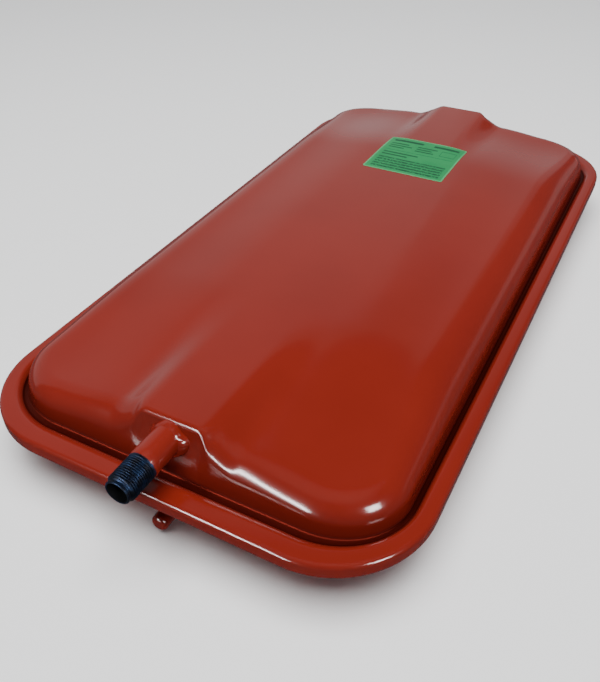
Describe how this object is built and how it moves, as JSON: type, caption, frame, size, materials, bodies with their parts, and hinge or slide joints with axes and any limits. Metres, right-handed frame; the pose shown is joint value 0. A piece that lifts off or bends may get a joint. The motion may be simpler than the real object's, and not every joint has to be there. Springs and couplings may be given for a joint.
{
  "type": "expansion vessel",
  "caption": "Flat rectangular steel expansion vessel with a rolled rim, an inner rubber diaphragm, a threaded water nipple and a capped gas valve at one end.",
  "frame": {"origin": "centre of the rear shell's flat face, on its outer surface", "axes": "+Z from the rear flat to the front flat, +Y along the length away from the connections, so -Y out of the water nipple, +X completes the right-handed set"},
  "size_m": [0.27, 0.537, 0.069],
  "materials": {
    "body_paint": "gloss",
    "thread_steel": "blackened",
    "membrane_rubber": "matte",
    "valve_brass": "satin",
    "spring_steel": "satin",
    "gasket_plastic": "matte",
    "label_film": "satin"
  },
  "bodies": {
    "vessel": {"front_shell": "body_paint", "rear_shell": "body_paint", "diaphragm": "membrane_rubber", "water_nipple": "thread_steel", "nipple_weld": "body_paint", "valve_stem": "valve_brass", "valve_weld": "body_paint", "core_plug": "valve_brass", "core_barrel": "valve_brass", "core_gasket": "gasket_plastic", "core_spring": "spring_steel", "label": "label_film"},
    "pin": {"core_pin": "valve_brass", "core_cup": "valve_brass", "core_seal": "membrane_rubber"},
    "cap_slider": {"cap_seal": "membrane_rubber"},
    "cap": {"valve_cap": "body_paint"}
  },
  "joints": [
    {"name": "pin_press", "type": "slide", "parent": "vessel", "child": "pin", "axis": [0, 1, 0], "range_m": [0, 0.0012], "stiffness_N_per_m": 800, "springref_m": -0.002, "deforming": ["core_spring"]},
    {"name": "cap_lift", "type": "slide", "parent": "vessel", "child": "cap_slider", "axis": [0, -1, 0], "range_m": [0, 0.00397]},
    {"name": "cap_turn", "type": "hinge", "parent": "cap_slider", "child": "cap", "pos_m": [0, -0.255, 0.0094], "axis": [0, -1, 0], "range_deg": [0, 1800]}
  ],
  "couplings": [
    {"joint": "cap_turn", "follows": "cap_lift", "rad_per_m": 7913.3}
  ]
}
